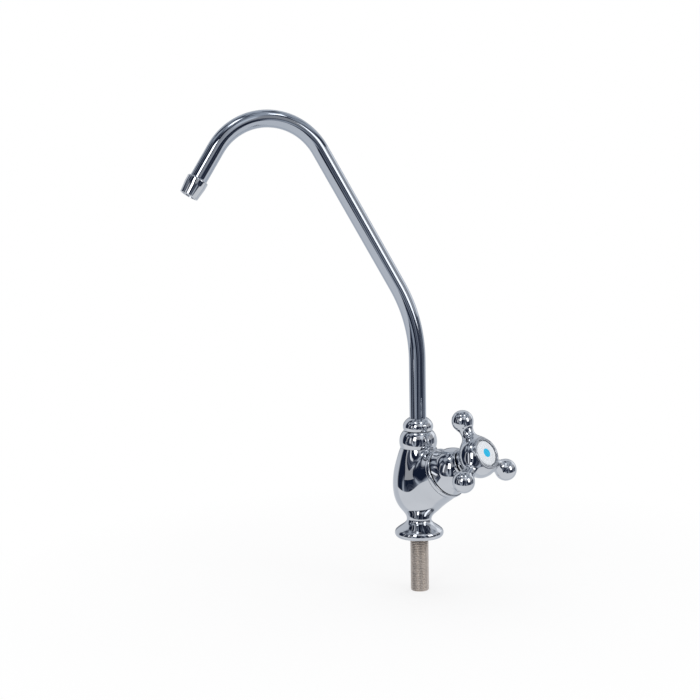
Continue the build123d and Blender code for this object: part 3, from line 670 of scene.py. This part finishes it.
bm = bmesh.new()
under, above = body["runsOn"]
coarse = flowingCurve(body["outline"], (0, 1), body["shoulderWay"], 12)
spinOutline(bm, [(0, under[1]), under] + coarse + [above, (0, above[1])], 64)
rings = []
for along in body["branchRings"]:
    wide, high = np.polyval(sideFit, along) * mm, np.polyval(rootFit, along) * mm
    place = valvePlace @ Matrix.Translation((0, 0, along * mm)) @ Matrix.Diagonal((wide, high, 1, 1))
    isEnd = along in (body["branchRings"][0], body["branchRings"][-1])
    ring = bmesh.ops.create_circle(bm, segments=64, radius=1, cap_ends=isEnd, matrix=place)
    rings.append(list(dict.fromkeys(e for v in ring["verts"] for e in v.link_edges)))
for first, second in zip(rings, rings[1:]):
    bmesh.ops.bridge_loops(bm, edges=first + second)
bmesh.ops.recalc_face_normals(bm, faces=bm.faces)
bm = meltedShape(bm, body["grain"], bodyDepth)
neckPoint = valvePlace @ Vector((0, 0, body["branchAlong"][2] * mm))
trimFlat(bm, (0, 0, body["foot"] * mm), (0, 0, -1))
trimFlat(bm, (0, 0, body["top"] * mm), (0, 0, 1))
trimFlat(bm, neckPoint, valveWay)
lip = bmesh.new()
lipFoot, lipTop = (body["lip"], body["branchAlong"][2]), (body["lip"], valve["mouth"])
inside, (bore, boreFoot) = body["lipInside"], body["lipBore"]
spinOutline(lip, [(inside, lipFoot[1])] + softCorner((inside, lipFoot[1]), lipFoot, lipTop, body["lipRound"], 7)
            + softCorner(lipFoot, lipTop, (bore, lipTop[1]), body["lipRound"], 7)
            + [(bore, lipTop[1]), (bore, boreFoot), (inside, boreFoot)], fineTurn, closed=True)
mergeInto(bm, lip, valvePlace)
addPiece("faucetBody", bm, chrome, "base", ["faucet_body"])
print("cast body made")

# swivel nut and spout collar

nut = {
    "foot": (10.75, 54.5),
    "footWay": (0.3, 1),
    "bulge": (11.4, 58.4),
    "top": (8.8, 64.7),
    "topWay": (-1, 0.9),
    "bore": 5.25,
    "webFoot": 60.5,
    "socket": 9.05,
    "edgeRound": 0.25,
}
collar = {
    "foot": (8.6, 64.95),
    "footWay": (0.35, 1),
    "bulge": (9.15, 67.25),
    "top": (5.7, 72.45),
    "topWay": (-1, 0.6),
    "bore": 5.05,
    "edgeRound": 0.25,
}


def beadedRing(shape, inside):
    # a ring with a bead outside, whose lower edge is softened, and the inside from its top down
    bead = flowingCurve([shape["foot"], shape["bulge"], shape["top"]], shape["footWay"], shape["topWay"], 24)
    edge = softCorner(inside[-1], shape["foot"], bead[3], shape["edgeRound"], 4)
    bm = bmesh.new()
    spinOutline(bm, edge + bead[3:] + inside, fineTurn, closed=True)
    return bm


bm = beadedRing(nut, [(nut["bore"], nut["top"][1]), (nut["bore"], nut["webFoot"]),
                      (nut["socket"], nut["webFoot"]), (nut["socket"], nut["foot"][1])])
addPiece("swivelNut", bm, chrome, "base", ["swivel_nut"])
bm = beadedRing(collar, [(collar["bore"], collar["top"][1]), (collar["bore"], collar["foot"][1])])
addPiece("spoutCollar", bm, chrome, "spout", ["spout_collar"])
print("nut and collar made")

# spout tube

tube = {
    "radius": 5.0,
    "wall": 0.8,
    "foot": 55.35,
    "riserTop": 107.2,
    "kneeRadius": 90.0,
    "rise": 30.0,
    "slope": 91.9,
    "archRadius": 35.5,
    "legAngle": 31.8,
    "leg": 21.2,
    "around": 72,
    "cuts": {"riser": 26, "knee": 30, "slope": 46, "arch": 72, "leg": 10},
    "uvLength": 400,
}


def spoutTube():
    # a ring carried up the riser, round the knee, up the slope, round the arch and down the leg
    bm = bmesh.new()
    uv = bm.loops.layers.uv.new("UVMap")
    ring = bmesh.ops.create_circle(bm, segments=tube["around"], radius=tube["radius"] * mm)["verts"]
    bmesh.ops.translate(bm, vec=(0, 0, tube["foot"] * mm), verts=ring)
    turnOf = {v: k for k, v in enumerate(sorted(ring, key=lambda v: math.atan2(v.co.y, v.co.x)))}
    runOf = {v: 0.0 for v in ring}
    way = Vector((0, 0, 1))
    at = Vector((0, 0, tube["foot"] * mm))
    done = 0.0

    def follow(fresh, advance):
        # gives each new vertex the turn of the one before it and the run so far
        for v in fresh:
            before = next(e.other_vert(v) for e in v.link_edges if e.other_vert(v) in turnOf)
            turnOf[v] = turnOf[before]
            runOf[v] = done + advance

    def straight(length, steps):
        nonlocal at, done
        for _ in range(steps):
            made = bmesh.ops.extrude_edge_only(bm, edges=edgesOf(ring))["geom"]
            fresh = [g for g in made if isinstance(g, bmesh.types.BMVert)]
            bmesh.ops.translate(bm, vec=way * (length * mm / steps), verts=fresh)
            follow(fresh, length / steps)
            done += length / steps
            ring[:] = fresh
        at = at + way * length * mm

    def curve(radius, angle, steps):
        nonlocal at, way, done
        centre = at + Vector((0, 1, 0)).cross(way) * -radius * mm
        for _ in range(steps):
            made = bmesh.ops.spin(bm, geom=list(ring) + edgesOf(ring), cent=centre, axis=(0, -1, 0),
                                  angle=math.radians(angle) / steps, steps=1)["geom_last"]
            fresh = [g for g in made if isinstance(g, bmesh.types.BMVert)]
            follow(fresh, radius * math.radians(angle) / steps)
            done += radius * math.radians(angle) / steps
            ring[:] = fresh
        spun = Matrix.Rotation(math.radians(angle), 3, (0, -1, 0))
        at = centre + spun @ (at - centre)
        way = spun @ way

    def edgesOf(verts):
        inside = set(verts)
        return list(dict.fromkeys(e for v in verts for e in v.link_edges if e.other_vert(v) in inside))

    cuts = tube["cuts"]
    straight(tube["riserTop"] - tube["foot"], cuts["riser"])
    curve(tube["kneeRadius"], tube["rise"], cuts["knee"])
    straight(tube["slope"], cuts["slope"])
    curve(tube["archRadius"], 180 - tube["rise"] - tube["legAngle"], cuts["arch"])
    straight(tube["leg"], cuts["leg"])
    for face in bm.faces:
        for loop in face.loops:
            loop[uv].uv = (turnOf[loop.vert] / tube["around"], runOf[loop.vert] / tube["uvLength"])
        low = [loop for loop in face.loops if turnOf[loop.vert] == 0]
        if low and max(turnOf[loop.vert] for loop in face.loops) > 1:  # the face that closes the turn
            for loop in low:
                loop[uv].uv.x = 1.0
    piece = addPiece("spoutTube", bm, tubeChrome, "spout", ["spout_tube"])
    wall = piece.modifiers.new("wall", "SOLIDIFY")
    wall.thickness = tube["wall"] * mm
    wall.offset = -1
    return at, way


legEnd, streamWay = spoutTube()
print("spout tube made, leg ends at", [round(c / mm, 2) for c in legEnd])

# outlet nozzle

nozzle = {
    "grip": 1.5,
    "length": 11.0,
    "radius": 6.15,
    "band": 3.8,
    "shoulderRound": 0.9,
    "bandRound": 0.3,
    "mouth": 5.35,
    "lipRound": 0.55,
    "bore": 4.0,
    "boreRound": 0.25,
    "boreTop": 7.3,
    "socket": 5.05,
}
gripTop, shoulder, bandEnd = (nozzle["socket"], 0), (nozzle["radius"], 0), (nozzle["radius"], nozzle["band"])
mouth, boreEnd = (nozzle["mouth"], nozzle["length"]), (nozzle["bore"], nozzle["length"])
boreTop, socketEnd = (nozzle["bore"], nozzle["boreTop"]), (nozzle["socket"], nozzle["boreTop"])
bm = bmesh.new()
spinOutline(bm, [gripTop] + softCorner(gripTop, shoulder, bandEnd, nozzle["shoulderRound"], 8)
            + softCorner(shoulder, bandEnd, mouth, nozzle["bandRound"], 4)
            + softCorner(bandEnd, mouth, boreEnd, nozzle["lipRound"], 7)
            + softCorner(mouth, boreEnd, boreTop, nozzle["boreRound"], 4) + [boreTop, socketEnd], 144, closed=True)
nozzlePlace = axisPlace(legEnd - streamWay * nozzle["grip"] * mm, streamWay, Vector((0, 1, 0)))
addPiece("outletNozzle", bm, chrome, "spout", ["outlet_nozzle"], place=nozzlePlace)
print("nozzle made")

# valve bonnet, heights from the branch's mouth

bonnet = {
    "neck": 13.05,  # stands back, so that the joint shows as a dark line
    "skirtFoot": (14.1, 0.5),
    "bevel": (14.25, 0.7),
    "waist": (13.0, 5.0),
    "dome": (12.7, 7.8),
    "crown": (9.5, 13.8),
    "ring": 9.1,
    "ringRound": 0.35,
    "height": 15.7,
    "bore": (6.65, 11.9),
    "hollow": [(10.5, 7.8), (10.9, 5.0), (12.15, 2.2), (12.15, 0.0)],
}
skirt = flowingCurve([bonnet["bevel"], bonnet["waist"]], (-0.4, 1), (-0.2, 1), 14)
dome = flowingCurve([bonnet["waist"], bonnet["dome"], bonnet["crown"]], (0.1, 1), (-1, 1), 22)
neck = [(bonnet["neck"], 0.0), (bonnet["neck"], bonnet["skirtFoot"][1]), bonnet["skirtFoot"]]
ringFoot, ringTop = (bonnet["ring"], bonnet["crown"][1]), (bonnet["ring"], bonnet["height"])
boreTop = (bonnet["bore"][0], bonnet["height"])
bm = bmesh.new()
spinOutline(bm, neck + skirt + dome[1:] + [ringFoot]
            + softCorner(ringFoot, ringTop, boreTop, bonnet["ringRound"], 5)
            + [boreTop, bonnet["bore"]] + bonnet["hollow"], fineTurn, closed=True)
addPiece("valveBonnet", bm, chrome, "base", ["valve_bonnet"], place=mouthPlace)
print("bonnet made")

# tripod handle, heights from the foot of its hub

handle = {
    "foot": (8.2, 1.3),
    "middle": (12.35, 9.1),
    "bulge": (11.75, 13.2),
    "front": (9.7, 16.2),
    "runsOn": ((8.2, -1.0), (8.7, 17.2)),  # the hub's ends before they are trimmed
    "armTurn": 91.3,
    "stem": [(6.9, 8.0), (3.95, 15.0), (4.9, 18.606)],
    "stemEnd": [(4.9, 21.0), (-8.0, 25.0)],  # it closes inside the ball
    "ballAt": 22.8,
    "ball": 6.45,
    "blend": 3.6,
    "ballBlend": 1.2,
    "well": 8.9,
    "wellFloor": 13.4,
    "grain": 0.27,
}
bell = flowingCurve([handle["foot"], handle["middle"]], (0.6, 1), (0, 1), 60)
brow = flowingCurve([handle["middle"], handle["bulge"], handle["front"]], (0, 1), (-1, 0.9), 40)
hubFoot, hubTop = handle["runsOn"]
hubLine = [hubFoot] + bell + brow[1:] + [hubTop]
stemLine = flowingCurve(handle["stem"], (-0.9, 1), (0.6, 1), 40)
stemRoot = stemLine[0][1]
armPlaces = [hubPlace @ Matrix.Translation((0, 0, handle["middle"][1] * mm))
             @ Matrix.Rotation(math.radians(handle["armTurn"] + 120 * k), 4, "Z")
             @ Matrix.Rotation(math.radians(90), 4, "Y") for k in range(3)]


def handleDepth(spots):
    # how far points lie outside the cast skin: hub, stems and balls, blended where they meet
    at = localSpots(spots, hubPlace)
    depth = outlineDepth(np.hypot(at[:, 0], at[:, 1]), at[:, 2], hubLine)
    for place in armPlaces:
        at = localSpots(spots, place)
        around = outlineDepth(np.hypot(at[:, 0], at[:, 1]), at[:, 2], stemLine + handle["stemEnd"])
        stem = np.maximum(around, stemRoot - at[:, 2])
        ball = np.linalg.norm(at - (0, 0, handle["ballAt"]), axis=1) - handle["ball"]
        depth = blendNear(depth, blendNear(stem, ball, handle["ballBlend"]), handle["blend"])
    return depth


bm = bmesh.new()
hub = bmesh.new()
spinOutline(hub, [(0, hubFoot[1])] + hubLine + [(0, hubTop[1])], 64)
mergeInto(bm, hub, hubPlace)
for place in armPlaces:
    arm = bmesh.new()
    spinOutline(arm, [(0, stemRoot)] + stemLine + [(0, handle["ballAt"])], 48)
    mergeInto(bm, arm, place)
    bmesh.ops.create_icosphere(bm, subdivisions=5, radius=handle["ball"] * mm,
                               matrix=place @ Matrix.Translation((0, 0, handle["ballAt"] * mm)))
bmesh.ops.recalc_face_normals(bm, faces=bm.faces)
bm = meltedShape(bm, handle["grain"], handleDepth)
trimFlat(bm, hubPlace.translation, -valveWay)
front = trimFlat(bm, hubPlace @ Vector((0, 0, handle["front"][1] * mm)), valveWay)[0]
bmesh.ops.inset_region(bm, faces=[front], thickness=(handle["front"][0] - handle["well"]) * mm)
floor = bmesh.ops.extrude_face_region(bm, geom=[front])["geom"]
bmesh.ops.translate(bm, vec=valveWay * (handle["wellFloor"] - handle["front"][1]) * mm,
                    verts=[g for g in floor if isinstance(g, bmesh.types.BMVert)])
bmesh.ops.delete(bm, geom=[front], context="FACES_ONLY")
addPiece("tripodHandle", bm, chrome, "handle", ["tripod_handle"])
print("handle made")

# bezel and button

bezel = {"lip": 9.3, "lipHeight": 1.0, "bore": 8.0, "round": 0.6, "skirt": 8.8, "footRound": 0.15}
low, high = handle["front"][1], handle["front"][1] + bezel["lipHeight"]
skirtTop, lipFoot, lipTop = (bezel["skirt"], low), (bezel["lip"], low), (bezel["lip"], high)
boreTop, boreFoot = (bezel["bore"], high), (bezel["bore"], handle["wellFloor"])
bm = bmesh.new()
spinOutline(bm, softCorner(skirtTop, lipFoot, lipTop, bezel["footRound"], 3)
            + softCorner(lipFoot, lipTop, boreTop, bezel["round"], 7)
            + softCorner(lipTop, boreTop, boreFoot, bezel["round"], 7)
            + [boreFoot, (bezel["skirt"], handle["wellFloor"]), skirtTop], fineTurn, closed=True)
addPiece("buttonBezel", bm, chrome, "handle", ["button_bezel"], place=hubPlace)

button = {
    "radius": 7.9,
    "foot": 13.4,
    "step": 15.1,
    "face": 7.35,
    "faceRound": 0.18,
    "faceDrop": 0.03,
    "edge": 16.4,
    "dome": 0.55,
    "rings": (7.1, 6.7, 6.2, 5.2, 4.2, 3.4, 2.0, 1.2, 0.5, 0),
    "mark": 2.6,
}
face = [(r, button["edge"] + button["dome"] * (1 - (r / button["radius"]) ** 2))
        for r in sorted((*button["rings"], button["mark"]), reverse=True)]
stepEdge, faceEdge = (button["face"], button["step"]), (button["face"], face[0][1] - button["faceDrop"])
bm = bmesh.new()
spinOutline(bm, [(0, button["foot"]), (button["radius"], button["foot"]), (button["radius"], button["step"])]
            + [stepEdge] + softCorner(stepEdge, faceEdge, face[0], button["faceRound"], 4) + face, 128)
for f in bm.faces:
    spot = f.calc_center_median()
    if spot.z > button["edge"] * mm and math.hypot(spot.x, spot.y) < button["mark"] * mm:
        f.material_index = 1
piece = addPiece("indexButton", bm, buttonWhite, "handle", ["index_button"], place=hubPlace)
piece.data.materials.append(buttonBlue)
print("button made")

# finishes of the parts inside

inner = {
    "base_gasket": rubber,
    "spout_ferrule": brass,
    "spout_o_rings": rubber,
    "swivel_washer": acetal,
    "flow_straightener": acetal,
    "nozzle_seal": rubber,
    "fixed_ceramic_disc": ceramic,
    "rotating_ceramic_disc": ceramic,
    "cartridge_seal": rubber,
    "valve_spindle": brass,
    "spindle_o_rings": rubber,
    "spindle_clip": steel,
    "glide_washer": acetal,
    "cartridge_housing": brass,
    "housing_o_ring": rubber,
    "handle_screw": steel,
    "spline_insert": acetal,
}
for name, mat in inner.items():
    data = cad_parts[name].data
    data.materials.clear()
    data.materials.append(mat)
print("inner parts finished")
